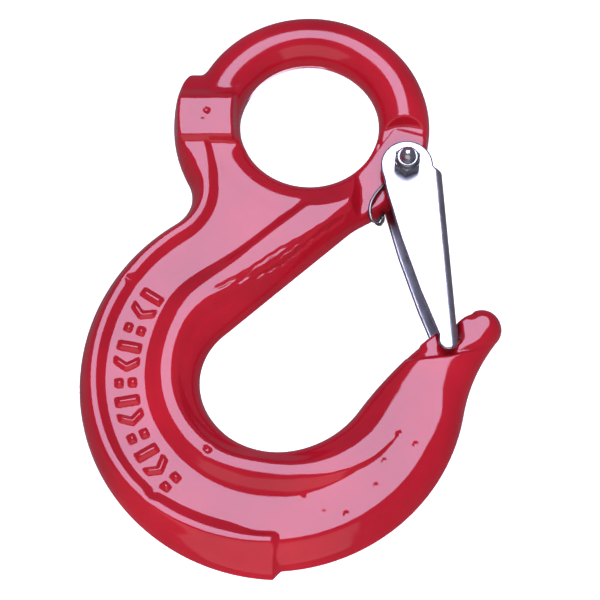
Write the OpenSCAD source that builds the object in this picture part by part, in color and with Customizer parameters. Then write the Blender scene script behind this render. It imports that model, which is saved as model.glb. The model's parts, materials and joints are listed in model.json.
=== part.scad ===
// Eye sling hook with a sprung safety latch, for a 10 mm lifting chain.
// The hook hangs from its eye. X runs towards the hook's tip, Y along the eye's bore, away from
// the marked face, and Z up the load line. The origin is the middle of the eye.
// Plans are drawn in X and Z, and each plate is spread evenly to both sides of the XZ plane.

/* [Eye] */
// Radius of the trimmed land inside the eye
eye_bore_r = 22.7; // [22.6:0.05:22.9]
// Radius of the ring's round section
ring_wire_r = 8.5; // [8.3:0.1:8.7]
// Radius from the eye's middle to the middle of the ring's section
ring_mid_r = 31; // [31:0.1:31.2]
// Radius of the heavy shoulder that carries the raised pad
shoulder_r = 44.6; // [44:0.1:45]
// Half thickness across the raised pad
pad_half = 11.5; // [11:0.1:12]

/* [Hook bowl] */
// Drop from the eye's middle to the bowl's middle
bowl_drop = 87.6; // [87:0.1:88]
// Radius of the bowl's saddle
bowl_r = 26.2; // [26:0.1:26.4]
// Radius of the back, from neck to bottom
back_r = 64.4; // [64:0.1:65]
// Radius of the front half of the back
front_r = 62; // [61.8:0.1:62.2]
// Radius of the hollow in the neck
neck_hollow_r = 12; // [11.5:0.1:12.5]
// Radius of the tip's round nose
nose_r = 6.4; // [6.2:0.1:6.6]

/* [Forging section] */
// Half thickness over the recessed panel
panel_half = 8.2; // [8:0.1:8.4]
// Half thickness over the back rim
rim_half = 9.8; // [9.4:0.1:10]
// Half thickness over the bead that follows the throat
bead_half = 10.5; // [10.2:0.1:10.8]

/* [Latch] */
// Half width over the latch's two cheeks
latch_half = 9.8; // [9.7:0.1:10]
// Thickness of the latch's sheet
sheet = 1.8; // [1.6:0.1:1.8]
// Radius of the latch's round head
head_r = 8.2; // [8:0.1:8.4]
// Half thickness of the lug between the cheeks
lug_half = 5; // [4.8:0.1:5.1]
// How far round the latch leans from the load line when closed
latch_lean = 9.35; // [9.3:0.05:9.4]

/* [Fasteners and spring] */
// Diameter of the pivot bolt
bolt_d = 5; // [5:5]
// Running clearance round the bolt, on the radius
bolt_gap = 0.06; // [0.04:0.01:0.08]
// Diameter of the spring wire
wire_d = 1.2; // [1.1:0.1:1.2]
// Height of the lock nut with its collar
nut_h = 6; // [5.8:0.1:6.2]

/* [Hidden] */
$fn = 96;
big = 200;

bowl_c = [0, -bowl_drop];
back_c = [0, -bowl_drop - 2.8];
front_c = [-4, -bowl_drop - 2.4];
heel_r = 21;
heel_c = [-5.2, -bowl_drop - 2.6];
nose_c = [61.3, -66];
tip_half = 6.8;
// The hollow in the neck touches both the shoulder's and the back's circle
hollow_z = ((shoulder_r + neck_hollow_r) ^ 2 - (back_r + neck_hollow_r) ^ 2 + back_c[1] ^ 2) / (2 * back_c[1]);
hollow_c = [-sqrt((shoulder_r + neck_hollow_r) ^ 2 - hollow_z ^ 2), hollow_z];
// The tip's outer edge is hollow too, between the front arc and the nose
flare_c = [114.8, -102.9];
flare_r = 58;
// The throat is a slot between the shank and the tip, leaning with them
throat_lean = 40;
shank_off = 22.6;
tip_off = 24.6;
shank_lean = 43.2;
tip_lean = 38.2;
// The pin that the latch turns on
pivot = [33, -14.8];
lug_r = 7.7;
lug_relief_r = 15;
bolt_r = bolt_d / 2;
cheek_in = latch_half - sheet;
web_out = 11.1;
web_in = web_out - sheet;
latch_len = 64.4;
web_end = 56.4;
end_r = 3.1;
coil_r = 3.7;
coil_turns = 2;
// The spring's leg ends on the web, and its bridge bends round the shank at a knee and a heel
leg_end = [8.5, 0, -16];
knee = [23.4, 0, -27.4];
heel = [22, 0, -31];
bridge = [22.9, 0, -33.3];
bridge_y = 6.9;
nut_flats = 8;
nut_hex_h = 4.2;
collar_r = 3.75;

// A flat plate, drawn in X and Z and spread to half on both sides of the hook's middle plane
module plate(points, half) {
    rotate([90, 0, 0]) linear_extrude(2 * half, center = true) polygon(points);
}

module disc(c, r, half) {
    translate([c[0], 0, c[1]]) rotate([90, 0, 0]) cylinder(h = 2 * half, r = r, center = true);
}

// Everything inside the back's outline, drawn in by g
module back_plate(g, half) {
    difference() {
        union() {
            intersection() {
                disc([0, 0], shoulder_r - g, half);
                plate([[0, -12], [-big, -8], [-big, -60], [0, -60]], half + 1);
            }
            intersection() {
                disc(back_c, back_r - g, half);
                plate([[4, 0], [-big, 0], [-big, -big], [4, -big]], half + 1);
            }
            intersection() {
                disc(front_c, front_r - g, half);
                plate([[-9, -70], [big, -70], [big, -big], [-9, -big]], half + 1);
            }
            plate([[0, -20], hollow_c, [-30, -90], [0, -75]], half);
            plate([[-2, -25], [24, -23], [24, -40], [-2, -62]], half);
        }
        disc(hollow_c, neck_hollow_r + g + 0.1, half + 1);
    }
}

module tip_plate(g, half) {
    difference() {
        union() {
            plate([[20, -101], [66, -99], nose_c + [nose_r - g - 0.3, -2], nose_c, [46, -66]], half);
            disc(nose_c, nose_r - g, half);
        }
        disc(flare_c, flare_r + g, half + 1);
    }
}

// The bowl and throat, grown by g. The shank's straight side ends at the heel
module throat_space(g, half) {
    intersection() {
        disc(bowl_c, bowl_r + g, half);
        plate([[-30, -97], [0, -80], [40, -60], [60, -90], [40, -140], [-30, -140]], half + 1);
    }
    disc(heel_c, heel_r + g, half);
    throat_slot(shank_lean, -shank_off - g, 20, half);
    throat_slot(throat_lean, -20, 40, half);
    throat_slot(tip_lean, 0, tip_off + g, half);
}

// One straight side of the throat, leaning from the bowl's middle
module throat_slot(lean, side, width, half) {
    translate([bowl_c[0], 0, bowl_c[1]]) rotate([0, lean, 0]) translate([side, -half, -5])
        cube([width, 2 * half, 125]);
}

// Room for the latch's end, between the throat and the nose
module notch_space(g, half) {
    plate([[42, -60], [42, -72 - g], [49, -72 - g], [51.6, -74 - g], [54.2 + g, -72], [54.2 + g, -60]], half);
}

// The forging without its eye, drawn in by g
module body_plate(g, half) {
    difference() {
        union() {
            back_plate(g, half);
            tip_plate(g, half);
        }
        throat_space(g, half + 1);
        notch_space(g, half + 1);
        disc([0, 0], ring_mid_r, half + 1);
    }
}

// A band inside the back's outline, from g0 to g1, that stops at the bottom step
module rim_band(g0, g1, half) {
    intersection() {
        difference() {
            back_plate(g0, half);
            back_plate(g1, half + 1);
            throat_space(6, half + 1);
        }
        plate([[-20, -13], [-big, -17], [-big, -big], [4, -big], [4, -120], [-30, -100]], half + 1);
    }
}

// The round bead that follows the throat, bent about the bowl and straight up the shank
module throat_bead() {
    bead_mid = bead_half + 0.3;
    join_up = sqrt((bowl_r + bead_mid) ^ 2 - (shank_off + bead_mid) ^ 2);
    join_angle = atan2(shank_off + bead_mid, join_up) + shank_lean;
    translate([bowl_c[0], 0, bowl_c[1]]) {
        rotate([0, shank_lean, 0]) translate([-shank_off - bead_mid, 0, -join_up - 2])
            cylinder(h = join_up + 46, r = bead_half);
        rotate([90, 0, 0]) rotate([0, 0, 265 - join_angle]) rotate_extrude(angle = join_angle + 67)
            translate([bowl_r + bead_mid, 0]) circle(bead_half);
    }
}

// Thins the tip so that the latch's cheeks straddle it
module tip_relief() {
    for (side = [-1, 1])
        translate([0, side * (tip_half + 10), 0]) difference() {
            disc(pivot, latch_len + 1.2, 10);
            plate([[40, -10], [40, -90], [0, -100], [-40, -60], [-40, 60], [40, 60]], 11);
        }
    for (side = [-1, 1])
        translate([0, side * (tip_half + 10), 0])
            plate([[53, -50], [53, -73], [60, -80], [75, -80], [75, -50]], 10);
}

module lug_plate(half) {
    disc(pivot, lug_r, half);
    plate([[18, -32], [22, -31.6], [30, -24.6], pivot + [5, -5.5], pivot + [7, -1], [38.8, -3], [28, 0], [14, -25]], half);
}

// The space beside the lug where the latch's cheeks swing
module lug_relief() {
    for (side = [-1, 1])
        translate([0, side * (lug_half + 10), 0]) {
            disc(pivot, lug_relief_r, 10);
            plate([[20, -40], [20.5, -24], pivot, pivot + [big, 0], [big, -40]], 10);
        }
}

module raised_pad() {
    translate([-32.4, 0, -4.6]) rotate([0, -5.3, 0]) {
        cube([15.5, 2 * pad_half, 12.6], center = true);
        cube([17, 2 * pad_half - 2, 16], center = true);
    }
    difference() {
        intersection() {
            disc([0, 0], shoulder_r, 8.6);
            plate([[-20, 8], [-36, 17], [-60, 6], [-60, -30], [-20, -20]], 10);
        }
        disc([0, 0], eye_bore_r + 1.5, 10);
    }
}

// Generic raised marks down the panel, in place of a maker's and a size mark
module raised_marks() {
    for (step = [0 : 11])
        translate([back_c[0], 0, back_c[1]]) rotate([0, 27 - step * 7.1, 0])
            translate([-back_r + 15.4, 0, 0])
                for (side = [-1, 1])
                    translate([0, side * panel_half, 0])
                        cube([step % 3 == 1 ? 3 : 6.6, 1.2, 3.6], center = true);
}

module hook_body() {
    color("crimson") difference() {
        union() {
            rotate([90, 0, 0]) rotate_extrude() translate([ring_mid_r, 0]) circle(ring_wire_r);
            body_plate(0, 3.2);
            body_plate(0.6, 5.4);
            body_plate(1.8, 7.2);
            body_plate(3.4, panel_half);
            rim_band(3.2, 7, rim_half - 0.7);
            rim_band(3.8, 5.6, rim_half);
            throat_bead();
            raised_pad();
            raised_marks();
        }
        lug_relief();
        tip_relief();
        eye_bore();
        lug_bore();
    }
    color("crimson") difference() {
        lug_plate(lug_half);
        eye_bore();
        lug_bore();
    }
}

module eye_bore() {
    disc([0, 0], eye_bore_r, 30);
}

module lug_bore() {
    disc(pivot, bolt_r + bolt_gap, 30);
}

// Places a piece drawn about the pivot: X points out through the web, and Z back up the latch
module at_pivot(lean = 0) {
    translate([pivot[0], 0, pivot[1]]) rotate([0, -lean, 0]) children();
}

// The latch seen from the side, with its head's middle at the origin
module cheek_plate(half) {
    disc([0, 0], head_r, half);
    plate([[-8, -1], [8, -1], [web_out + 1, -3.6], [web_out + 1, -61.3], [7.6, -61], [5.2, -60.2],
           [0.5, -44], [-4.2, -25], [-7.4, -9]], half);
    disc([web_out - end_r, end_r - latch_len], end_r, half);
}

// The latch's channel, open towards the throat
module channel() {
    bend_r = 2.6;
    translate([0, 0, -70]) linear_extrude(90) difference() {
        translate([-10, -latch_half]) square([10 + web_out, 2 * latch_half]);
        translate([-11, -cheek_in]) square([11 + web_in, 2 * cheek_in]);
        for (side = [-1, 1])
            difference() {
                translate([web_out - bend_r, side * (latch_half - bend_r / 2 + 0.5) - bend_r / 2 - 0.5])
                    square([bend_r + 1, bend_r + 1]);
                translate([web_out - bend_r, side * (latch_half - bend_r)]) circle(bend_r);
            }
    }
}

module latch() {
    color("gainsboro") at_pivot(latch_lean) difference() {
        intersection() {
            channel();
            cheek_plate(20);
        }
        // The web stops short, so that only the cheeks pass the tip
        translate([web_in - 1, -cheek_in + 0.4, -web_end - 20]) cube([5, 2 * (cheek_in - 0.4), 20]);
        disc([0, 0], bolt_r + bolt_gap + 0.02, 30);
    }
}

// The bolt's head is at the back, and its domed end stands out of the nut
module pivot_bolt() {
    end_y = -latch_half - 0.1 - nut_h - 1;
    color("silver") at_pivot() {
        translate([0, end_y, 0]) rotate([-90, 0, 0]) cylinder(h = latch_half + 0.1 - end_y, r = bolt_r);
        translate([0, end_y, 0]) intersection() {
            sphere(bolt_r);
            translate([-bolt_r, -bolt_r, -bolt_r]) cube([bolt_d, bolt_r + 0.1, bolt_d]);
        }
        translate([0, latch_half + 0.1, 0]) rotate([-90, 0, 0]) cylinder(h = 3.5, r = nut_flats / sqrt(3), $fn = 6);
    }
}

module lock_nut() {
    color("darkgray") at_pivot() translate([0, -latch_half - 0.1, 0]) rotate([90, 0, 0]) difference() {
        union() {
            cylinder(h = nut_hex_h, r = nut_flats / sqrt(3), $fn = 6);
            cylinder(h = nut_h, r = collar_r);
        }
        translate([0, 0, -1]) cylinder(h = nut_h + 2, r = bolt_r);
        translate([0, 0, nut_hex_h]) cylinder(h = 1.2, r = 3.3);
    }
}

// The nylon ring that grips the thread, held under the nut's collar
module nut_insert() {
    color("royalblue") at_pivot() translate([0, -latch_half - 0.1 - nut_hex_h, 0]) rotate([90, 0, 0])
        difference() {
            cylinder(h = 1.2, r = 3.3);
            translate([0, 0, -1]) cylinder(h = 3, r = bolt_r);
        }
}

// Straight lengths of spring wire, with round corners and ends that are a hair thicker
module wire(path) {
    for (point = path)
        translate(point) sphere(d = wire_d + 0.08, $fn = 24);
    for (i = [1 : len(path) - 1]) {
        run = path[i] - path[i - 1];
        translate(path[i - 1]) rotate([0, atan2(norm([run[0], run[1]]), run[2]), atan2(run[1], run[0])])
            cylinder(h = norm(run), d = wire_d, $fn = 24);
    }
}

// A double torsion spring: a close-wound coil each side of the lug, drawn as a tube, with one leg
// down behind the web and a bridge under the shank that joins the two coils
module latch_spring() {
    coil_y = lug_half + 0.2;
    coil_h = coil_turns * wire_d;
    leg_y = coil_y + coil_h - wire_d / 2;
    start_y = coil_y + wire_d / 2;
    color("darkslategray") {
        for (side = [-1, 1]) {
            at_pivot() translate([0, side * (coil_y + coil_h / 2), 0]) rotate([90, 0, 0]) difference() {
                cylinder(h = coil_h, r = coil_r + wire_d / 2, center = true);
                cylinder(h = coil_h + 1, r = coil_r - wire_d / 2, center = true);
            }
            at_pivot(latch_lean) wire([[coil_r, side * leg_y, -0.5], leg_end + [0, side * leg_y, 0]]);
        }
        wire([[pivot[0] - coil_r, -start_y, pivot[1] - 0.5],
              knee - [0, bridge_y, 0],
              heel - [0, bridge_y, 0],
              bridge - [0, bridge_y - 1, 0],
              bridge + [0, bridge_y - 1, 0],
              heel + [0, bridge_y, 0],
              knee + [0, bridge_y, 0],
              [pivot[0] - coil_r, start_y, pivot[1] - 0.5]]);
    }
}

hook_body();
latch();
pivot_bolt();
lock_nut();
nut_insert();
latch_spring();
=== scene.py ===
"""Eye sling hook with a sprung safety latch: red paint over a drop forging, zinc plated fittings.

The forging, latch, bolt, nut and insert are built here as smooth fields and the spring as a swept
wire, all in the CAD frame, and each one stands for its CAD node. The object's lengths are in
millimetres until a mesh is made; the camera, the lights and the stage are in metres.
X runs towards the hook's tip, -Y towards the camera, and Z up the load line.
"""

import json
import math

import bmesh
import bpy
import numpy as np
from mathutils import Matrix, Vector


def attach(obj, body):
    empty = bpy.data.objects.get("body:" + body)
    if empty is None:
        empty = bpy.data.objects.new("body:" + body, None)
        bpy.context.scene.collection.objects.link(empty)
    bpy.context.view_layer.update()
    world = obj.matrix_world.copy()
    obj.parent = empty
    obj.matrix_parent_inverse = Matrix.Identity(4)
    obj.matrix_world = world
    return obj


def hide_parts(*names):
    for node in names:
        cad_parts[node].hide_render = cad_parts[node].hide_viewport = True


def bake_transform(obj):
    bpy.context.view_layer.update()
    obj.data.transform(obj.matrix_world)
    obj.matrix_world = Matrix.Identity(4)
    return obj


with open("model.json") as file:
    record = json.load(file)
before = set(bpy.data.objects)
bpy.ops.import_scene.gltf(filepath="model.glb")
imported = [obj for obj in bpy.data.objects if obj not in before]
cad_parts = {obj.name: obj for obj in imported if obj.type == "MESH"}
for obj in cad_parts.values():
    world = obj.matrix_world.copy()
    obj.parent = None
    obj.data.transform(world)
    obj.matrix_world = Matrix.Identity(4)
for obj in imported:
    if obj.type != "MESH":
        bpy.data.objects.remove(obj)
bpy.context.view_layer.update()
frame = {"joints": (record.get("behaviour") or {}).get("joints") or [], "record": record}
MM = 0.001

# ---------------------------------------------------------------- sizes, in millimetres
# The latch's pin, where the frame's only joint is
PIVOT = tuple(frame["joints"][0]["pos_m"][i] / MM for i in (0, 2))
# The eye: the land inside it, from the frame's first mount, and the round ring about it
EYE_R = frame["record"]["mounts"][0]["dims"]["r_mm"]
RING_R, RING_WIRE = 31.0, 8.5
# The heavy shoulder beside the eye, and the raised pad on it
SHOULDER_R, SHOULDER_FROM, SHOULDER_TOP = 44.6, 150, 20.2
PAD_C, PAD_LEAN, PAD_HALF = (-33.7, -4.5), -5.3, 8.6
# The back in two arcs with a step at the bottom, and the hollows that join them to their neighbours
BACK_C, BACK_R = (0.0, -90.2), 64.1
FRONT_C, FRONT_R = (-4.0, -90.0), 62.0
STEP_X, STEP_RUN = 3.3, 2.4
NECK_R, FLARE_R = 12.0, 58.0
# The throat: the bowl's middle, the shank's straight edge and the arcs of the bowl
BOWL = (0.0, -87.6)
SHANK_LEAN, SHANK_OFF, SHANK_LONG = 43.2, 22.6, 70.0
HEEL_C = (-5.1, -90.6)
FLOOR_R, FLOOR_FROM, FLOOR_TO = 25.0, 215, 285
RISE_R, RISE_TO = 33.0, 330
TIP_R, TIP_FROM = 120.0, 150
# The tip: its nose, and the notch that takes the latch's end
NOSE_C, NOSE_R, NOSE_END = (61.3, -66.0), 6.4, 132
GUARD_TOP = (52.95, -65.5)
POCKET_C, POCKET_R, POCKET_FROM, POCKET_TO = (51.05, -70.8), 3.1, 232, 352
LIP_R, LIP_FROM, LIP_AT = 1.7, 50, 133.6
# Half thicknesses: panel, rim along the back, bead along the throat, pad and latch lug
PANEL, RIM, BEAD, PAD, LUG = 8.2, 9.9, 10.5, 11.4, 5.0
# The lug: its boss round the bolt, and how far from the bolt the forging is let in to its faces
BOSS_R, LET_IN_R, LET_IN_DEEP, LET_IN_RUN = 7.7, 15.4, 7.0, 5.6
# Where the latch's cheeks swing past the tip, out to this far from the pin, it is this much thinner
THIN, THIN_FROM, THIN_TO = 1.6, 65.4, 66.6
# The generic marks down the panel: how many, their pitch and first place in degrees, their height
MARKS, MARK_PITCH, MARK_FIRST = 12, 7.1, 153
MARK_IN, MARK_HIGH = 15.2, 0.9
# The latch: a folded channel that tapers from its round head to its narrow end
LATCH_LEAN, LATCH_HALF, SHEET = 9.35, 9.8, 1.8
HEAD_R, LATCH_END_R = 8.4, 3.1
WEB_OUT, LATCH_LEN, WEB_END, WEB_HALF = 11.1, 64.4, 56.4, 7.4
# The bolt, its nut with a collar and the nylon ring in the collar
GAP = 0.1
BOLT_R, BOLT_PITCH, HEX_HALF, HEAD_HIGH = 2.5, 0.8, 4.0, 3.5
NUT_HIGH, COLLAR_R, COLLAR_HIGH = 4.2, 3.75, 6.0
INSERT_R, INSERT_AT, INSERT_HALF = 3.28, 4.8, 0.58
BOLT_OUT = 0.98
# The spring
WIRE_R, COIL_R, COIL_TURNS = 0.6, 3.7, 1.5
# The forging's surface lies this far inside its outline, and its parting line stands this proud
SKIN, FLASH = 0.16, 0.14
# Knocks in the forging: place, radius and depth
DENTS = [
    (-33.5, -2.2, 1.1, 0.5), (-34.5, -4.6, 0.8, 0.25), (-37.2, -20.5, 1.3, 0.7),
    (-51.5, -63, 1.6, 0.6), (-36, -133, 1.8, 0.6), (-20.5, -117.5, 1.2, 0.6),
    (-31.5, 14.5, 1.0, 0.5), (-60, -108, 1.2, 0.4), (38.0, -106.1, 0.9, 0.3),
    (43.3, -109.1, 0.9, 0.3), (34.1, -115.4, 0.9, 0.25), (32.2, -123.6, 0.9, 0.25),
    (23.9, -133.5, 0.9, 0.3), (10.6, -129.7, 0.8, 0.25), (17, -134, 1.5, 0.2),
    (-13, -50, 1.4, 0.12), (16.5, 26.5, 1.6, 0.3),
]
# Rough die marks on the shank's flank: place as a share of the flank, start, end and depth
SHANK_STREAKS = [(0.87, -2, 42, 0.36), (0.72, 4, 38, 0.62), (0.57, 10, 50, 0.8)]
# And round the top of the eye: radius, start and end in degrees, and depth
EYE_STREAKS = [(26.6, 72, 104, 0.35), (25.6, 40, 66, 0.4), (25.0, 100, 140, 0.35)]
# The faces' unevenness: height, length of the waves and which pattern
RIPPLES = [(0.07, 26, 1), (0.035, 9, 2)]


# ---------------------------------------------------------------- field arithmetic
def smooth_min(a, b, k):
    """The lower of two fields, blended over k."""
    h = np.clip(0.5 + 0.5 * (b - a) / k, 0.0, 1.0)
    return b * (1 - h) + a * h - k * h * (1 - h)


def smooth_max(a, b, k):
    return -smooth_min(-a, -b, k)


def ease(low, high, value):
    """0 below low, 1 above high, and smooth between them."""
    t = np.clip((value - low) / (high - low), 0.0, 1.0)
    return t * t * (3 - 2 * t)


def bell(value, middle, width):
    """1 in the middle, and fading to both sides over about that width."""
    return np.exp(-(((value - middle) / width) ** 2))


def hump(value, middle, flat, inner, outer):
    """A flat-topped ridge: 1 within flat of middle, falling over inner below it and outer above it."""
    below = ease(middle - flat - inner, middle - flat, value)
    above = 1 - ease(middle + flat, middle + flat + outer, value)
    return below * above


def past_corner(a, b):
    """Distance outside the corner where a and b are both 0, below 0 inside it."""
    return np.hypot(np.maximum(a, 0), np.maximum(b, 0)) + np.minimum(np.maximum(a, b), 0)


def slab(value, middle, half):
    """Distance outside a layer of that half thickness, below 0 inside it."""
    return np.abs(value - middle) - half


def bar(along, across, long_half, short_half):
    """Distance outside a rectangle, below 0 inside it."""
    return past_corner(np.abs(along) - long_half, np.abs(across) - short_half)


def hexagon(a, b, half):
    """Distance outside a hexagon of that half width across its flats, below 0 inside it."""
    best = -1e9
    for turn in (0, 60, 120):
        t = math.radians(turn)
        best = np.maximum(best, np.abs(a * math.cos(t) + b * math.sin(t)) - half)
    return best


def turned(x, z, centre, degrees):
    """The place of x, z along and across a direction that leans from +Z towards +X."""
    s, c = math.sin(math.radians(degrees)), math.cos(math.radians(degrees))
    dx, dz = x - centre[0], z - centre[1]
    return dx * s + dz * c, dx * c - dz * s


def on_circle(centre, radius, degrees):
    a = math.radians(degrees)
    return (centre[0] + radius * math.cos(a), centre[1] + radius * math.sin(a))


def angle_to(start, end):
    return math.degrees(math.atan2(end[1] - start[1], end[0] - start[0])) % 360


def from_pin(x, z):
    return np.hypot(x - PIVOT[0], z - PIVOT[1])


# ---------------------------------------------------------------- outlines in the hook's plane
def touching(c1, r1, c2, r2, radius, side):
    """The centre of a circle that touches two others from outside."""
    gap = math.dist(c1, c2)
    a = ((r1 + radius) ** 2 - (r2 + radius) ** 2 + gap**2) / (2 * gap)
    h = side * math.sqrt((r1 + radius) ** 2 - a * a)
    ux, uz = (c2[0] - c1[0]) / gap, (c2[1] - c1[1]) / gap
    return (c1[0] + a * ux - h * uz, c1[1] + a * uz + h * ux)


def inner_circle(centre, radius, degrees, new_radius):
    """The centre of a circle that carries on from this one, at that angle, with another radius."""
    return on_circle(centre, radius - new_radius, degrees)


def line_distance(start, end, x, z):
    (ax, az), (bx, bz) = start, end
    vx, vz = bx - ax, bz - az
    t = np.clip(((x - ax) * vx + (z - az) * vz) / (vx * vx + vz * vz), 0, 1)
    return np.hypot(x - ax - t * vx, z - az - t * vz)


def arc_distance(centre, radius, start, end, x, z):
    middle = math.radians((start + end) / 2)
    half = math.radians(abs(end - start) / 2)
    off = np.arctan2(z - centre[1], x - centre[0]) - middle
    off = np.abs((off + math.pi) % (2 * math.pi) - math.pi)
    to_ends = []
    for degrees in (start, end):
        px, pz = on_circle(centre, radius, degrees)
        to_ends.append(np.hypot(x - px, z - pz))
    to_curve = np.abs(np.hypot(x - centre[0], z - centre[1]) - radius)
    return np.where(off > half, np.minimum(*to_ends), to_curve)


def part_points(part, steps=24):
    """The ends of a line, or that many places along an arc."""
    if part[0] == "line":
        return [part[1], part[2]]
    _, centre, radius, start, end = part
    return [on_circle(centre, radius, a) for a in np.linspace(start, end, steps)]


class Outline:
    """A chain of arcs and straight lines in the hook's plane."""

    def __init__(self):
        self.parts = []

    def arc(self, centre, radius, start, end):
        self.parts.append(("arc", centre, radius, start, end))

    def line(self, start, end):
        self.parts.append(("line", start, end))

    def points(self):
        return [point for part in self.parts for point in part_points(part)]

    def distance(self, x, z):
        best = np.full(np.shape(x), 1e9)
        for kind, *sizes in self.parts:
            measure = line_distance if kind == "line" else arc_distance
            best = np.minimum(best, measure(*sizes, x, z))
        return best


def inside(points, x, z):
    """Whether each place is inside the closed polygon."""
    odd = np.zeros(np.shape(x), bool)
    for (ax, az), (bx, bz) in zip(points, points[1:] + points[:1]):
        if az == bz:
            continue
        crosses = (az > z) != (bz > z)
        odd ^= crosses & (x < (bx - ax) * (z - az) / (bz - az) + ax)
    return odd


def polygon_distance(points, x, z):
    """Signed distance to a closed polygon, below 0 inside."""
    chain = Outline()
    for a, b in zip(points, points[1:] + points[:1]):
        chain.line(a, b)
    d = chain.distance(x, z)
    return np.where(inside(points, x, z), -d, d)


def outer_outline():
    """From the shoulder's top, down the back and round the bottom, up to the nose."""
    eye = (0, 0)
    neck = touching(eye, SHOULDER_R, BACK_C, BACK_R, NECK_R, -1)
    flare = touching(FRONT_C, FRONT_R, NOSE_C, NOSE_R, FLARE_R, -1)
    step_foot = on_circle(BACK_C, BACK_R, 270 + math.degrees(math.asin(STEP_X / BACK_R)))
    after = 270 + math.degrees(math.asin((STEP_X + STEP_RUN - FRONT_C[0]) / FRONT_R))
    chain = Outline()
    chain.arc(eye, SHOULDER_R, SHOULDER_FROM, angle_to(eye, neck))
    chain.arc(neck, NECK_R, angle_to(neck, eye), angle_to(neck, BACK_C) - 360)
    chain.arc(BACK_C, BACK_R, angle_to(BACK_C, neck), angle_to(BACK_C, step_foot))
    chain.line(step_foot, on_circle(FRONT_C, FRONT_R, after))
    chain.arc(FRONT_C, FRONT_R, after, angle_to(FRONT_C, flare))
    chain.arc(flare, FLARE_R, angle_to(flare, FRONT_C), angle_to(flare, NOSE_C))
    chain.arc(NOSE_C, NOSE_R, angle_to(NOSE_C, flare) - 360, NOSE_END)
    return chain


def inner_outline():
    """From the nose, over the latch's notch, down the tip, round the bowl and up the shank."""
    heel_to = 180 - SHANK_LEAN
    heel_r = SHANK_OFF + turned(*HEEL_C, BOWL, SHANK_LEAN)[1]
    floor_c = inner_circle(HEEL_C, heel_r, FLOOR_FROM, FLOOR_R)
    rise_c = inner_circle(floor_c, FLOOR_R, FLOOR_TO, RISE_R)
    tip_c = on_circle(rise_c, RISE_R + TIP_R, RISE_TO)
    lip_c = on_circle(tip_c, TIP_R - LIP_R, LIP_AT)
    heel_top = on_circle(HEEL_C, heel_r, heel_to)
    up = math.radians(SHANK_LEAN)
    shank_top = (heel_top[0] + SHANK_LONG * math.sin(up), heel_top[1] + SHANK_LONG * math.cos(up))
    chain = Outline()
    chain.line(on_circle(NOSE_C, NOSE_R, NOSE_END), GUARD_TOP)
    chain.line(GUARD_TOP, on_circle(POCKET_C, POCKET_R, POCKET_TO))
    chain.arc(POCKET_C, POCKET_R, POCKET_FROM, POCKET_TO)
    chain.line(on_circle(POCKET_C, POCKET_R, POCKET_FROM), on_circle(lip_c, LIP_R, LIP_FROM))
    chain.arc(lip_c, LIP_R, LIP_FROM, LIP_AT)
    chain.arc(tip_c, TIP_R, LIP_AT, TIP_FROM)
    chain.arc(rise_c, RISE_R, FLOOR_TO, RISE_TO)
    chain.arc(floor_c, FLOOR_R, FLOOR_FROM, FLOOR_TO)
    chain.arc(HEEL_C, heel_r, heel_to, FLOOR_FROM)
    chain.line(heel_top, shank_top)
    return chain


def closed_plan(outer, inner):
    """Both outlines' points in order, closed over the eye."""
    first, second = inner.parts[:2]
    ordered = [first[1], first[2], second[2]]
    for part in inner.parts[2:]:
        made = part_points(part)
        forwards = math.dist(made[0], ordered[-1]) <= math.dist(made[-1], ordered[-1])
        ordered += made if forwards else made[::-1]
    over_eye = [(20, 10), (0, 22), (-20, 24)]
    return outer.points() + ordered + over_eye


# ---------------------------------------------------------------- the forging
class Place:
    """Where each place of the plan lies on the forging, in distances, angles and soft regions."""

    def __init__(self, x, z):
        self.x, self.z = x, z
        outer, inner = outer_outline(), inner_outline()
        d_out, d_in = outer.distance(x, z), inner.distance(x, z)
        within = inside(closed_plan(outer, inner), x, z)
        # How far in from the outer and the inner edge, from the eye's middle and from the pin
        self.d_out = np.where(within | (d_in < d_out), d_out, -d_out)
        self.d_in = np.where(within | (d_out <= d_in), d_in, -d_in)
        self.reach = np.hypot(x, z)
        self.from_pin = from_pin(x, z)
        # The angle round the back's middle, and the distance in from the back's own circle
        self.turn = np.degrees(np.arctan2(z - BACK_C[1], x - BACK_C[0])) % 360
        in_back = BACK_R - np.hypot(x - BACK_C[0], z - BACK_C[1])
        by_back = (self.turn > 190) & (self.turn < 280) & (x < STEP_X + 3)
        self.d_rim = np.where(by_back, in_back, self.d_out)
        # Before the step at the bottom or after it
        self.stepped = 1 - ease(STEP_X - 0.6, STEP_X + 0.4, x)
        # Along the shank from the bowl's level; then soft regions: the left and right halves, the
        # shank, the bend at its foot and the bottom
        self.along, across = turned(x, z, BOWL, SHANK_LEAN)
        self.left = 1 - ease(-6, 8, across)
        self.right = 1 - self.left
        self.shank = self.left * ease(-16, 32, self.along)
        self.bend = self.left * bell(self.along, -5, 15)
        self.bottom = bell(self.turn, 263, 22)
        # Up and across the raised pad on the shoulder
        self.up, self.pad_side = turned(x, z, PAD_C, PAD_LEAN)
        self.by_pad = ease(-13, -8, self.up) * self.left
        # The rim's crest, in from the outer edge
        self.rim_crest = 4.7 + 5.6 * ease(208, 282, self.turn) * ease(-60, -75, z)


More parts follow.
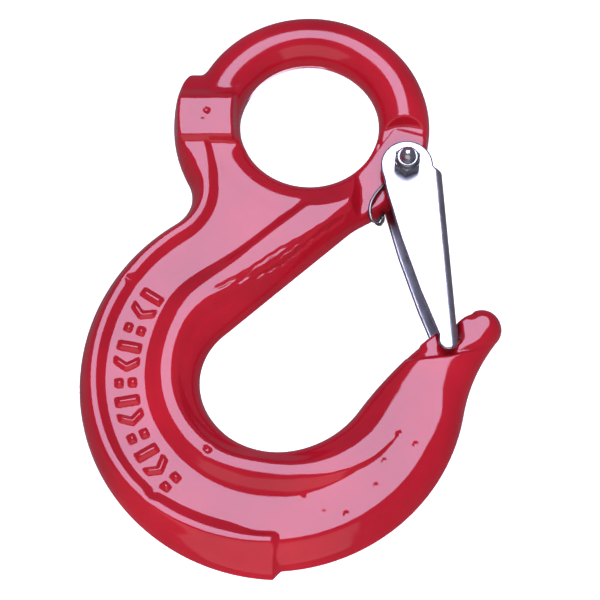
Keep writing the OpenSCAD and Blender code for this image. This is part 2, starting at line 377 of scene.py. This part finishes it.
def flank_share(p):
    """How far down a flank each place is: 0 on the faces, 1 at the forging's edge."""
    x, z = p.x, p.z
    # The flanks' widths, in from the outer edge, the throat, the eye and the shoulder's top
    wide_out = (p.rim_crest - 0.3) * p.stepped + 8.2 * (1 - p.stepped)
    wide_out = wide_out + (2.2 - wide_out) * p.by_pad
    wide_out = wide_out + 2.0 * ease(-98, -84, z) * p.right * (x > 30)
    wide_out = wide_out - 5.5 * ease(-78, -71, z) * (x > 46)
    wide_in = 9.6 + 2.8 * p.bend - 3.0 * p.left * ease(12, 38, p.along) - 1.8 * p.bottom
    wide_in = wide_in + 1.8 * bell(p.turn, 340, 20) * p.right
    wide_in = wide_in - 3.6 * p.right * ease(-92, -78, z)
    wide_in = wide_in + (2.0 - wide_in) * ease(-78.5, -74, z) * (x > 42)
    wide_eye = 7.6 - 4.3 * p.by_pad
    wide_top = 13.0
    d_side = p.d_rim * p.stepped + p.d_out * (1 - p.stepped)
    out = np.maximum(0, 1 - d_side / wide_out)
    throat = np.maximum(0, 1 - p.d_in / wide_in)
    eye = np.maximum(0, 1 - (p.reach - EYE_R) / wide_eye)
    end = np.maximum(0, 1 - (SHOULDER_TOP - p.up) / wide_top) * (p.reach > 20)
    return (out**3 + throat**3 + eye**3 + end**3) ** (1 / 3), wide_in


def rim_ridge(p):
    """1 along the back's rim, 0 off it."""
    high_neck = ease(-27, -14, p.z) * p.left
    fall = 3.9 + 1.2 * ease(220, 245, p.turn) - 2.2 * ease(255, 268, p.turn)
    ridge = hump(p.d_rim, p.rim_crest + high_neck, 0.7 + 2.0 * high_neck, 3, fall)
    below_pad = ease(-10.5, -12.5, p.z)
    before_step = 1 - ease(1.6, 4.6, p.x)
    return ridge * below_pad * before_step * ease(26, 20, p.d_out)


def bead_ridge(p):
    """1 along the bead that follows the throat and dies out under the tip, 0 off it."""
    fading = ease(6, 34, p.x) * p.right
    crest = 10.0 + 2.4 * p.bend - 1.8 * p.bottom - 0.8 * p.left * ease(20, 40, p.along) + 2.8 * fading
    half = 1.3 + 2.6 * p.shank + 1.4 * fading
    end = 17.4 + 3.2 * p.bend - 2.2 * fading
    ridge = hump(p.d_in, crest, half, 5, np.maximum(end - crest - half, 1.0))
    return ridge * (1 - np.clip((p.x - 8) / 31, 0, 1) * p.right) * ease(27.5, 33, p.reach)


def pad_share(p):
    """1 on the shoulder's raised pad, 0 off it."""
    beside = 1 - ease(PAD_HALF, PAD_HALF + 2, np.abs(p.pad_side))
    return beside * (1 - ease(6.3, 12.5, p.up)) * (1 - ease(6.3, PAD_HALF, -p.up))


def marks(x, z):
    """Raised generic marks down the panel (bars, chevrons and pairs of blocks): 1 on a mark, 0 off it."""
    best = np.full(np.shape(x), 9.0)
    for step in range(MARKS):
        degrees = MARK_FIRST + step * MARK_PITCH
        cx, cz = on_circle(BACK_C, BACK_R - MARK_IN, degrees)
        c, s = math.cos(math.radians(degrees)), math.sin(math.radians(degrees))
        along = (x - cx) * c + (z - cz) * s
        across = -(x - cx) * s + (z - cz) * c
        kinds = (
            bar(along, across, 3.4, 1.2),
            bar(along, across + 0.6 * np.abs(along) - 0.9, 3.6, 1.0),
            bar(np.abs(along) - 2.1, across, 0.9, 1.1),
        )
        best = np.minimum(best, kinds[step % 3])
    return 1 - ease(-1.2, 0.8, best)


def ripple(x, z, size, seed):
    """A gentle repeatable unevenness, between -1 and 1."""
    waves, total = 5, 0
    for i in range(waves):
        a = seed * 1.7 + i * 2.4
        k = (0.7 + 0.25 * i) / size
        total = total + np.sin(k * (x * math.cos(a) + z * math.sin(a)) * 2 * math.pi + seed + i * 1.3)
    return total / waves


def face_height(p):
    """Half the forging's thickness at each place of its faces."""
    x, z = p.x, p.z
    top = PANEL + (RIM - PANEL) * rim_ridge(p) + (BEAD - PANEL) * bead_ridge(p)
    # The tip is thinner where the latch's cheeks swing past it
    top = top - THIN * (1 - ease(THIN_FROM, THIN_TO, p.from_pin)) * (x > 38)
    top = top + (PAD - top) * pad_share(p)
    top = top + MARK_HIGH * marks(x, z)
    for height, size, seed in RIPPLES:
        top = top + height * ripple(x, z, size, seed)
    for cx, cz, r, deep in DENTS:
        top = top - deep * np.exp(-((x - cx) ** 2 + (z - cz) ** 2) / (r * r))
    return top


def shank_streaks(p, wide_in):
    """How deep the rough die marks along the shank's inner flank are."""
    total = 0
    for share, start, end, deep in SHANK_STREAKS:
        middle = wide_in * share + 0.35 * np.sin(p.along / 4 + 9 * share) + 0.12 * np.sin(p.along * 1.3)
        groove = deep * bell(p.d_in, middle, 0.55)
        total = total + groove * ease(start, start + 5, p.along) * (1 - ease(end - 6, end, p.along))
    return total * p.left


def eye_streaks(p):
    """How deep the short rough marks round the top of the eye are."""
    turn = np.degrees(np.arctan2(p.z, p.x))
    total = 0
    for radius, start, end, deep in EYE_STREAKS:
        groove = deep * bell(p.reach, radius + 0.4 * np.sin(turn / 3.1 + radius), 0.6)
        total = total + groove * ease(start, start + 8, turn) * (1 - ease(end - 8, end, turn))
    return total


def lug_limit(p):
    """Half the thickness that is left round the bolt, where the lug's faces are let in."""
    px, pz = PIVOT
    open_side = polygon_distance([(19.6, -60), (19.8, -24), (px, pz), (90, pz), (90, -60)], p.x, p.z)
    let_in = smooth_min(p.from_pin - LET_IN_R, open_side, 2)
    let_in = np.where((p.x < 50) & (p.z > -50), let_in, 40)
    return LUG + LET_IN_DEEP * ease(0, LET_IN_RUN, let_in)


def lug_arm(x, z):
    """Signed distance to the web of steel between the lug's boss and the shank."""
    px, pz = PIVOT
    arm = [(17, -31), (22, -31.4), (29.6, -24.9), (px + 4.6, pz - 6.2), (px + 7, pz + 3), (38.4, -2)]
    return polygon_distance(arm + [(28, 0), (14, -25)], x, z)


def flank_power(p):
    """The power of the flanks' curve: 2 for a round one, less for a flatter one."""
    wide = ease(205, 245, p.turn) * (1 - ease(335, 350, p.turn)) * (p.d_out < p.d_in)
    return 2.0 - 0.4 * wide * (1 - ease(-84, -76, p.z))


class Plan:
    """The forging's plan fields on a fine grid, looked up between its points."""

    STEP = 0.25
    LOW, HIGH = (-68.0, -158.0), (72.0, 44.0)

    def __init__(self):
        xs = np.arange(self.LOW[0], self.HIGH[0], self.STEP)
        zs = np.arange(self.LOW[1], self.HIGH[1], self.STEP)
        x, z = np.meshgrid(xs, zs, indexing="ij")
        self.size = x.shape
        p = Place(x, z)
        flank, wide_in = flank_share(p)
        carve = shank_streaks(p, wide_in) + eye_streaks(p)
        fields = [flank, face_height(p), p.reach, lug_arm(x, z), lug_limit(p), flank_power(p), carve]
        self.fields = np.stack(fields, -1)

    def at(self, x, z):
        """The fields at any places, by straight-line interpolation."""
        fx = np.clip((x - self.LOW[0]) / self.STEP, 0, self.size[0] - 1.001)
        fz = np.clip((z - self.LOW[1]) / self.STEP, 0, self.size[1] - 1.001)
        i, j = fx.astype(int), fz.astype(int)
        tx, tz = (fx - i)[..., None], (fz - j)[..., None]
        f = self.fields
        low = f[i, j] * (1 - tx) + f[i + 1, j] * tx
        high = f[i, j + 1] * (1 - tx) + f[i + 1, j + 1] * tx
        return np.moveaxis(low * (1 - tz) + high * tz, -1, 0)


def forging_field(plan):
    def field(x, y, z):
        if x.ndim == 3:
            # A whole grid: the plan is the same at every y
            flat = plan.at(x[:, 0, :], z[:, 0, :])[:, :, None, :]
        else:
            flat = plan.at(x, z)
        flank, top, reach, arm, limit, power, carve = flat
        high = np.abs(y)
        body = ((flank**power + (high / top) ** power) ** (1 / power) - 1) * top * 0.8 + carve
        ring = np.hypot(reach - RING_R, y) - RING_WIRE
        whole = smooth_min(body, ring, 1.2)
        whole = smooth_max(whole, high - limit, 0.8)
        pin = from_pin(x, z)
        # The arm under the boss is bevelled on both faces, towards the shank
        bevel = (0.65 * (x - 22) - 0.76 * (z + 31.4) + 0.94 * high) * 0.73
        ear = smooth_min(pin - BOSS_R, smooth_max(arm, bevel, 1.0), 1.6)
        ear = smooth_max(ear, high - LUG, 1.0)
        whole = smooth_min(whole, ear, 1.0)
        whole = smooth_max(whole, EYE_R - reach, 0.5)
        whole = whole - FLASH * bell(y, 0, 0.7) + SKIN
        return smooth_max(whole, BOLT_R + 0.06 - pin, 0.25)

    return field


# ---------------------------------------------------------------- the latch and its fastenings
def channel(out, y, side, half, r):
    """A block with two rounded edges, that far out and half as wide on both sides."""
    return past_corner(out - side + r, np.abs(y) - half + r) - r


def latch_field(x, y, z):
    """A stamped channel: two tapering cheeks, a round head and a web along the outer edge."""
    up, out = turned(x, z, PIVOT, -LATCH_LEAN)
    past_web = WEB_OUT + 1
    cheek = [
        (-8, -1), (8, -1), (past_web, -3.6), (past_web, -61.3), (7.6, -61),
        (5.4, -60.2), (0.5, -44), (-4.2, -25), (-7.5, -8),
    ]
    plan = polygon_distance(cheek, out, up)
    plan = smooth_min(plan, np.hypot(out, up) - HEAD_R, 0.8)
    end = np.hypot(out - 8, up + LATCH_LEN - LATCH_END_R) - LATCH_END_R
    plan = smooth_min(plan, end, 0.6)
    outside = channel(out, y, WEB_OUT, LATCH_HALF, 2.6)
    hollow = channel(out, y, WEB_OUT - SHEET, LATCH_HALF - SHEET, 0.8)
    shell = smooth_max(outside, -hollow, 0.3)
    shell = smooth_max(shell, plan, 0.45)
    web_cut = np.maximum(np.abs(y) - WEB_HALF, WEB_OUT - SHEET - 1 - out)
    shell = smooth_max(shell, -np.maximum(web_cut, up + WEB_END), 0.4)
    return smooth_max(shell, BOLT_R + 0.08 - np.hypot(out, up), 0.3)


def nut_field(x, y, z):
    """A hexagon with turned corners, and a round collar with a recess for the nylon ring."""
    a, b, s = x - PIVOT[0], z - PIVOT[1], -y - LATCH_HALF - GAP
    r = np.hypot(a, b)
    ends = slab(s, NUT_HIGH / 2, NUT_HIGH / 2)
    flats = smooth_max(hexagon(a, b, HEX_HALF), ends, 0.25)
    flats = smooth_max(flats, (r - 4.25) * 0.8 + ends * 0.6, 0.15)
    collar = smooth_max(r - COLLAR_R, slab(s, COLLAR_HIGH / 2, COLLAR_HIGH / 2), 0.9)
    whole = smooth_min(flats, collar, 0.3)
    whole = smooth_max(whole, BOLT_R - r, 0.15)
    recess = np.maximum(r - INSERT_R - 0.02, slab(s, INSERT_AT, INSERT_HALF + 0.02))
    return smooth_max(whole, -recess, 0.1)


def insert_field(x, y, z):
    """The nylon ring."""
    r = from_pin(x, z)
    ring = smooth_max(r - INSERT_R, BOLT_R + 0.02 - r, 0.1)
    return smooth_max(ring, slab(-y - LATCH_HALF - GAP, INSERT_AT, INSERT_HALF), 0.15)


def bolt_field(x, y, z):
    """A shank with a thread and a domed end at the front, and a dished hexagon head at the back."""
    a, b = x - PIVOT[0], z - PIVOT[1]
    r = np.hypot(a, b)
    end = LATCH_HALF + GAP + COLLAR_HIGH + BOLT_OUT
    turn = np.arctan2(b, a) / (2 * math.pi)
    groove = 0.12 * (1 + np.cos((-y / BOLT_PITCH + turn) * 2 * math.pi))
    thread = groove * ease(9.9, 10.6, -y) * (1 - ease(end - 0.7, end - 0.2, -y))
    shank = smooth_max(r - BOLT_R + thread, -y - end, 0.1)
    shank = smooth_max(shank, y - LATCH_HALF - 0.4, 0.1)
    dome = np.maximum(np.sqrt(r * r + (y + end) ** 2) - BOLT_R, y + end - 0.1)
    s = y - LATCH_HALF - GAP
    head = smooth_max(hexagon(a, b, HEX_HALF), slab(s, HEAD_HIGH / 2, HEAD_HIGH / 2), 0.3)
    head = smooth_max(head, (r - 4.3) * 0.6 + (s - HEAD_HIGH) * 0.8, 0.2)
    dish = np.sqrt(r * r + (s - 9.2) ** 2) - 6.1
    head = smooth_max(head, -dish, 0.2)
    return np.minimum(smooth_min(shank, dome, 0.2), head)


def spring_path():
    """The wire's middle line: leg, coil, bridge under the shank, coil and leg."""
    px, pz = PIVOT
    c, s = math.cos(math.radians(LATCH_LEAN)), math.sin(math.radians(LATCH_LEAN))
    # The leg along the latch's web, then the coil round the bolt, each place with its Y
    half = []
    for out, up, y in ((8.4, -16, 6.4), (6.4, -9, 6.9)):
        half.append(((px + out * c - up * s, pz + out * s + up * c), y))
    steps, coil_y, coil_wide = 36, 7.0, 1.2 * (COIL_TURNS + 0.02) * 0.82
    for i in range(steps + 1):
        angle = 2 * math.pi * COIL_TURNS * i / steps
        place = (px + COIL_R * math.cos(angle), pz - COIL_R * math.sin(angle))
        half.append((place, coil_y - coil_wide * i / steps))
    # From each coil to the bridge's middle: in a wide loop at the front, and close in at the back
    near = [
        ((26.4, -20.8), 6.0), ((23.9, -24.8), 6.6), ((22.5, -28.8), 7.0), ((22.6, -32.2), 7.0),
        ((23.6, -34.4), 6.8), ((25.0, -34.2), 6.2), ((25.8, -32.2), 5.0), ((26.4, -30.6), 3.2),
    ]
    far = [
        ((26.2, -20.8), 6.0), ((24.4, -24.2), 6.6), ((24.0, -27.0), 6.9), ((24.8, -29.2), 6.6),
        ((26.0, -30.2), 5.2), ((26.6, -30.3), 3.2),
    ]
    points = [(p[0], -y, p[1]) for p, y in half + near]
    return points + [(p[0], y, p[1]) for p, y in (half + far)[::-1]]


# ---------------------------------------------------------------- meshes
def mesh_object(name, co, quads):
    """A smooth mesh of quads, from places in millimetres."""
    mesh = bpy.data.meshes.new(name)
    mesh.vertices.add(len(co))
    mesh.vertices.foreach_set("co", (np.asarray(co) * MM).astype(np.float32).ravel())
    mesh.loops.add(len(quads) * 4)
    mesh.loops.foreach_set("vertex_index", quads.astype(np.int32).ravel())
    mesh.polygons.add(len(quads))
    mesh.polygons.foreach_set("loop_start", np.arange(0, len(quads) * 4, 4, dtype=np.int32))
    mesh.update(calc_edges=True)
    mesh.validate()
    mesh.polygons.foreach_set("use_smooth", np.ones(len(mesh.polygons), bool))
    made = bpy.data.objects.new(name, mesh)
    bpy.context.scene.collection.objects.link(made)
    return made


def pulled(co, field, cell):
    """The points moved along the field's slope onto its surface, by at most half a cell."""
    h = 0.02
    here = field(*co.T)
    slope = np.stack([field(*(co + h * np.eye(3)[i]).T) - here for i in range(3)], 1) / h
    size = np.maximum((slope**2).sum(1), 0.05)
    move = -slope * (here / size)[:, None]
    length = np.maximum(np.linalg.norm(move, axis=1), 1e-9)
    return co + move * np.minimum(1, 0.5 * cell / length)[:, None]


def crossing_cells(solid):
    """The cells that the surface passes through, and each cell's number, -1 for the others."""
    corner = [slice(0, -1), slice(1, None)]
    total = np.zeros([c - 1 for c in solid.shape], np.int8)
    for i in (0, 1):
        for j in (0, 1):
            for k in (0, 1):
                total += solid[corner[i], corner[j], corner[k]]
    cells = np.argwhere((total > 0) & (total < 8))
    number = np.full(total.shape, -1, np.int64)
    number[tuple(cells.T)] = np.arange(len(cells))
    return cells, number


def cell_middles(cells, value):
    """In each cell, the mean place where the surface cuts the cell's edges, in cells."""
    place, hits = np.zeros((len(cells), 3)), np.zeros(len(cells))
    for axis in range(3):
        step = np.eye(3, dtype=int)[axis]
        others = [o for o in range(3) if o != axis]
        for i in (0, 1):
            for j in (0, 1):
                start = cells.copy()
                start[:, others[0]] += i
                start[:, others[1]] += j
                a = value[tuple(start.T)]
                b = value[tuple((start + step).T)]
                cut = (a < 0) != (b < 0)
                t = np.where(cut, a / np.where(a == b, 1, a - b), 0)
                place += np.where(cut[:, None], start + t[:, None] * step, 0)
                hits += cut
    return place / hits[:, None]


def edge_quads(solid, number, axis):
    """A quad round every grid edge along that axis that the surface cuts, facing out."""
    b_axis, c_axis = (axis + 1) % 3, (axis + 2) % 3
    here = [slice(None)] * 3
    ahead = [slice(None)] * 3
    here[axis], ahead[axis] = slice(0, -1), slice(1, None)
    at = np.argwhere(solid[tuple(here)] != solid[tuple(ahead)])
    keep = (at[:, b_axis] > 0) & (at[:, c_axis] > 0)
    keep &= (at[:, b_axis] < solid.shape[b_axis] - 1) & (at[:, c_axis] < solid.shape[c_axis] - 1)
    at = at[keep]
    ring = []
    for db, dc in ((0, 0), (-1, 0), (-1, -1), (0, -1)):
        other = at.copy()
        other[:, b_axis] += db
        other[:, c_axis] += dc
        ring.append(number[tuple(other.T)])
    quads = np.stack(ring, 1)
    out = solid[tuple(at.T)]
    quads[~out] = quads[~out][:, ::-1]
    return quads


def surface(name, low, high, cell, field):
    """A quad mesh of the surface field = 0, by surface nets, then pulled onto the surface."""
    counts = [int(math.ceil((b - a) / cell)) + 1 for a, b in zip(low, high)]
    axes = [low[i] + cell * np.arange(counts[i]) for i in range(3)]
    value = field(*np.meshgrid(*axes, indexing="ij")).astype(np.float32)
    solid = value < 0
    cells, number = crossing_cells(solid)
    co = np.array(low) + cell * cell_middles(cells, value)
    for _ in range(3):
        co = pulled(co, field, cell)
    quads = [edge_quads(solid, number, axis) for axis in range(3)]
    return mesh_object(name, co, np.concatenate(quads))


def smooth_line(path, spacing=0.35):
    """Closely spaced places on a smooth curve through the path."""
    path = np.array(path)
    span = np.concatenate([[0], np.cumsum(np.linalg.norm(np.diff(path, axis=0), axis=1))])
    slope = np.gradient(path, span, axis=0)
    fine = np.linspace(0, span[-1], int(span[-1] / spacing))
    k = np.clip(np.searchsorted(span, fine, side="right") - 1, 0, len(span) - 2)
    h = (span[k + 1] - span[k])[:, None]
    t = ((fine - span[k]) / h[:, 0])[:, None]
    before = (2 * t**3 - 3 * t**2 + 1) * path[k] + (t**3 - 2 * t**2 + t) * h * slope[k]
    return before + (-2 * t**3 + 3 * t**2) * path[k + 1] + (t**3 - t**2) * h * slope[k + 1]


def tube(name, path, radius, sides=14):
    """A round wire along a smooth curve through the path, with domed ends."""
    line = smooth_line(path)
    last = len(line) - 1
    rows, side = [], Vector((0.3, 0.9, 0.2))
    for i, point in enumerate(line):
        ahead = Vector(line[min(i + 1, last)] - line[max(i - 1, 0)]).normalized()
        side = (side - ahead * side.dot(ahead)).normalized()
        other = ahead.cross(side)
        rows.append((Vector(point), side.copy(), other, radius))
        if i in (0, last):
            sign = -1 if i == 0 else 1
            caps = []
            for a in (0.5, 1.0, 1.4):
                middle = Vector(point) + sign * ahead * radius * math.sin(a)
                caps.append((middle, side.copy(), other, radius * math.cos(a)))
            rows = caps[::-1] + rows if i == 0 else rows + caps
    co, quads = [], []
    for middle, one, two, r in rows:
        for s in range(sides):
            a = 2 * math.pi * s / sides
            co.append(middle + one * (r * math.cos(a)) + two * (r * math.sin(a)))
    for i in range(len(rows) - 1):
        for s in range(sides):
            n = (s + 1) % sides
            quads.append((i * sides + s, i * sides + n, (i + 1) * sides + n, (i + 1) * sides + s))
    made = mesh_object(name, np.array([tuple(c) for c in co]), np.array(quads))
    close_ends(made, sides)
    return made


def close_ends(made, sides):
    """A face over the first and the last ring of a tube."""
    bm = bmesh.new()
    bm.from_mesh(made.data)
    bm.verts.ensure_lookup_table()
    for ring in (bm.verts[:sides][::-1], bm.verts[-sides:]):
        bm.faces.new(ring).smooth = True
    bmesh.ops.recalc_face_normals(bm, faces=bm.faces[:])
    bm.to_mesh(made.data)
    bm.free()


# ---------------------------------------------------------------- materials
def new_material(name):
    made = bpy.data.materials.new(name)
    made.use_nodes = True
    return made, made.node_tree, made.node_tree.nodes["Principled BSDF"]


def noise(tree, scale, detail=3.0, rough=0.5, stretch=(1, 1, 1)):
    place = tree.nodes.new("ShaderNodeTexCoord")
    mapping = tree.nodes.new("ShaderNodeMapping")
    mapping.inputs["Scale"].default_value = stretch
    made = tree.nodes.new("ShaderNodeTexNoise")
    made.inputs["Scale"].default_value = scale
    made.inputs["Detail"].default_value = detail
    made.inputs["Roughness"].default_value = rough
    tree.links.new(place.outputs["Object"], mapping.inputs["Vector"])
    tree.links.new(mapping.outputs["Vector"], made.inputs["Vector"])
    return made.outputs["Fac"]


def ramp(tree, source, stops):
    """The source turned into colours, by stops of place and colour."""
    made = tree.nodes.new("ShaderNodeValToRGB")
    band = made.color_ramp
    while len(band.elements) < len(stops):
        band.elements.new(0.5)
    for element, (at, colour) in zip(band.elements, stops):
        element.position = at
        element.color = (*colour, 1)
    tree.links.new(source, made.inputs["Fac"])
    return made.outputs["Color"]


def grey(value):
    return (value, value, value)


def mixed(tree, share, a, b):
    """a where share is 0 and b where it is 1; b is a plain colour."""
    made = tree.nodes.new("ShaderNodeMix")
    made.data_type = "RGBA"
    factor, first, second = made.inputs[0], made.inputs[6], made.inputs[7]
    tree.links.new(share, factor)
    tree.links.new(a, first)
    second.default_value = (*b, 1)
    return made.outputs[2]


def bumped(tree, shader, layers):
    """Bump layers, one over another: height source, strength and depth in metres."""
    last = None
    for source, strength, depth in layers:
        made = tree.nodes.new("ShaderNodeBump")
        made.inputs["Strength"].default_value = strength
        made.inputs["Distance"].default_value = depth
        tree.links.new(source, made.inputs["Height"])
        if last is not None:
            tree.links.new(last, made.inputs["Normal"])
        last = made.outputs["Normal"]
    tree.links.new(last, shader.inputs["Normal"])


def red_paint():
    """Glossy stoved paint over a forged skin, uneven in tone, with small chips down to dark scale."""
    made, tree, shader = new_material("red_paint")
    reds = [(0.3, (0.30, 0.0045, 0.013)), (0.55, (0.36, 0.006, 0.015)), (0.75, (0.42, 0.008, 0.018))]
    tone = ramp(tree, noise(tree, 38, 4), reds)
    chips = ramp(tree, noise(tree, 210, 5, 0.62), [(0.735, grey(0)), (0.765, grey(1))])
    tree.links.new(mixed(tree, chips, tone, (0.16, 0.012, 0.02)), shader.inputs["Base Color"])
    rough = ramp(tree, noise(tree, 90, 5), [(0.3, grey(0.08)), (0.7, grey(0.15))])
    tree.links.new(mixed(tree, chips, rough, grey(0.55)), shader.inputs["Roughness"])
    shader.inputs["IOR"].default_value = 1.5
    forged = (noise(tree, 160, 3), 0.35, 0.00009)
    sprayed = (noise(tree, 900, 2), 0.15, 0.00002)
    bumped(tree, shader, [forged, sprayed, (chips, -0.4, 0.0001)])
    return made


def zinc(name, colour, low, high, grain=(1, 1, 1)):
    """Bright zinc plate, low to high in roughness: patchy tone, fine drawn grain and small specks."""
    made, tree, shader = new_material(name)
    dull, pale, dark = (tuple(c * share for c in colour) for share in (0.82, 1.08, 0.55))
    tone = ramp(tree, noise(tree, 120, 5), [(0.32, dull), (0.5, colour), (0.7, pale)])
    specks = ramp(tree, noise(tree, 700, 3, 0.6), [(0.70, grey(0)), (0.74, grey(1))])
    tree.links.new(mixed(tree, specks, tone, dark), shader.inputs["Base Color"])
    shader.inputs["Metallic"].default_value = 1.0
    rough = ramp(tree, noise(tree, 260, 4), [(0.3, grey(low)), (0.7, grey(high))])
    tree.links.new(rough, shader.inputs["Roughness"])
    drawn = (noise(tree, 420, 3, 0.55, grain), 0.25, 0.00004)
    bumped(tree, shader, [drawn, (noise(tree, 60, 2), 0.2, 0.0001)])
    return made


def nylon():
    """Blue nylon, a little uneven."""
    made, tree, shader = new_material("nylon")
    tone = ramp(tree, noise(tree, 400, 3), [(0.35, (0.02, 0.09, 0.36)), (0.65, (0.03, 0.13, 0.46))])
    tree.links.new(tone, shader.inputs["Base Color"])
    rough = ramp(tree, noise(tree, 700, 3), [(0.3, grey(0.38)), (0.7, grey(0.52))])
    tree.links.new(rough, shader.inputs["Roughness"])
    bumped(tree, shader, [(noise(tree, 900, 2), 0.2, 0.00003)])
    return made


def pale_stage():
    """Near white, with a glow of its own so that it stays plain."""
    made, tree, shader = new_material("stage_white")
    tone = ramp(tree, noise(tree, 1.2, 2), [(0.3, grey(0.90)), (0.7, grey(0.93))])
    tree.links.new(tone, shader.inputs["Base Color"])
    shader.inputs["Roughness"].default_value = 0.9
    shader.inputs["Emission Color"].default_value = (1, 1, 1, 1)
    shader.inputs["Emission Strength"].default_value = 0.75
    return made


# ---------------------------------------------------------------- camera, lights and stage, in metres
# The camera looks up at the hook from the front, this far off, and is rolled a little
LOOK_UP, ROLL, FAR = math.radians(22), math.radians(5.5), 0.8
RIGHT = Vector((math.cos(ROLL), 0, math.sin(ROLL)))
UP = Vector((-math.sin(ROLL), 0, math.cos(ROLL)))
FRONT = Vector((0, -1, 0))
TARGET = Vector((2.75, 0, -61.26)) * MM
FLOOR_Z, WALL_TOP, WALL_Y, WALL_ROUND = -1.0, 3.2, 1.7, 2.6


def facing(right, up, back, place):
    """The matrix of something at place whose local Z is back and whose local Y is up."""
    rows = Matrix((right, up, back)).transposed().to_4x4()
    rows.translation = place
    return rows


def make_camera():
    back = math.cos(LOOK_UP) * FRONT - math.sin(LOOK_UP) * UP
    up = math.cos(LOOK_UP) * UP + math.sin(LOOK_UP) * FRONT
    data = bpy.data.cameras.new("photo_camera")
    data.lens, data.sensor_width = 150, 36
    data.clip_start, data.clip_end = 0.01, 20
    camera = bpy.data.objects.new("photo_camera", data)
    camera.matrix_world = facing(RIGHT, up, back, TARGET + FAR * back)
    bpy.context.scene.collection.objects.link(camera)
    bpy.context.scene.camera = camera


def softbox(name, towards, distance, size, radiance, colour=(1, 1, 1)):
    """A soft area light that looks at the hook from that direction."""
    towards = Vector(towards).normalized()
    data = bpy.data.lights.new(name, "AREA")
    data.shape = "RECTANGLE"
    data.size, data.size_y = size
    data.energy = radiance * math.pi * size[0] * size[1]
    data.color = colour
    light = bpy.data.objects.new(name, data)
    across = UP.cross(towards).normalized()
    light.matrix_world = facing(across, towards.cross(across), towards, TARGET + distance * towards)
    light.visible_camera = False
    bpy.context.scene.collection.objects.link(light)


def make_lights():
    """A big lilac softbox that the hook's flat faces mirror, a low fill and one from behind."""
    key = math.cos(LOOK_UP) * FRONT + math.sin(LOOK_UP) * UP
    softbox("key_softbox", key, 1.2, (0.84, 0.80), 6.1, (1.0, 1.0, 1.45))
    softbox("low_fill", (0.04, -0.5, -1.0), 0.6, (0.8, 0.9), 0.7)
    softbox("back_fill", (0.1, 1.0, 0.1), 1.2, (0.6, 0.6), 3.0, (1.0, 1.0, 1.3))
    world = bpy.data.worlds.new("studio")
    bpy.context.scene.world = world
    world.use_nodes = True
    sky = world.node_tree.nodes["Background"]
    sky.inputs["Color"].default_value = (0.86, 0.80, 1.0, 1)
    sky.inputs["Strength"].default_value = 0.22


def strip(name, first, second, closed):
    """A sheet of quads between two rows of places in metres. A closed one ends where it starts."""
    count = len(first)
    co = np.array([place for pair in zip(first, second) for place in pair]) / MM
    quads = []
    for i in range(count if closed else count - 1):
        n = (i + 1) % count
        quads.append((2 * i, 2 * i + 1, 2 * n + 1, 2 * n))
    made = mesh_object(name, co, np.array(quads))
    made.visible_glossy = False
    return made


def stage_floor():
    """A pale floor that sweeps up into a wall behind the hook."""
    sweep, wide, steps = 0.6, 4.0, 16
    profile = [(-3.0, FLOOR_Z)]
    for i in range(steps + 1):
        a = math.radians(90 * i / steps)
        profile.append((WALL_Y - sweep + sweep * math.sin(a), FLOOR_Z + sweep - sweep * math.cos(a)))
    profile.append((WALL_Y, WALL_TOP))
    left, right = ([(x, y, z) for y, z in profile] for x in (-wide, wide))
    return strip("stage_floor", left, right, closed=False)


def stage_around():
    """A round wall for the views from other sides. It sends no light to the hook."""
    sides, low, high = 48, [], []
    for i in range(sides):
        x, y = on_circle((0, 0), WALL_ROUND, 360 * i / sides)
        low.append((x, y, FLOOR_Z - 0.05))
        high.append((x, y, WALL_TOP))
    around = strip("stage_around", low, high, closed=True)
    around.visible_diffuse = False
    around.visible_shadow = False
    return around


def make_stage():
    white = pale_stage()
    for piece in (stage_floor(), stage_around()):
        piece.data.materials.append(white)


# ---------------------------------------------------------------- the pieces
def finish_piece(piece, material, node):
    piece.data.materials.append(material)
    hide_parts(node)


def make_hook():
    cell = 0.45
    low, high = (-66.5, -12.6, -156.8), (70.0, 12.6, 41.5)
    hook = surface("hook_forging", low, high, cell, forging_field(Plan()))
    finish_piece(hook, red_paint(), "hook_body")
    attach(hook, "hook")


def make_latch():
    cell = 0.4
    latch = surface("latch_channel", (22, -11, -82), (60, 11, -5), cell, latch_field)
    drawn = zinc("zinc_latch", (0.44, 0.45, 0.47), 0.26, 0.38, (1, 1, 0.15))
    finish_piece(latch, drawn, "latch")
    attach(latch, "latch")


def make_fastener(name, field, low_y, high_y, reach, material, node):
    """A piece round the bolt's line, between two places in Y and within reach of the line."""
    px, pz = PIVOT
    low, high = (px - reach, low_y, pz - reach), (px + reach, high_y, pz + reach)
    piece = surface(name, low, high, 0.16, field)
    finish_piece(piece, material, node)
    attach(piece, "hook")


def make_fasteners():
    bolt_zinc = zinc("zinc_bolt", (0.46, 0.46, 0.47), 0.16, 0.28)
    make_fastener("pivot_bolt_shown", bolt_field, -20.2, 14.2, 5.4, bolt_zinc, "pivot_bolt")
    nut_zinc = zinc("zinc_nut", (0.30, 0.31, 0.32), 0.20, 0.34)
    make_fastener("lock_nut_shown", nut_field, -16.6, -9.4, 5.4, nut_zinc, "lock_nut")
    make_fastener("nut_insert_shown", insert_field, -15.8, -13.4, 4.2, nylon(), "nut_insert")


def make_spring():
    spring = tube("latch_spring_shown", spring_path(), WIRE_R)
    wire = zinc("spring_wire", (0.24, 0.22, 0.20), 0.25, 0.4)
    finish_piece(spring, wire, "latch_spring")
    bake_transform(spring)


make_camera()
make_lights()
make_stage()
make_hook()
make_latch()
make_fasteners()
make_spring()
bpy.context.scene.view_settings.view_transform = "Standard"
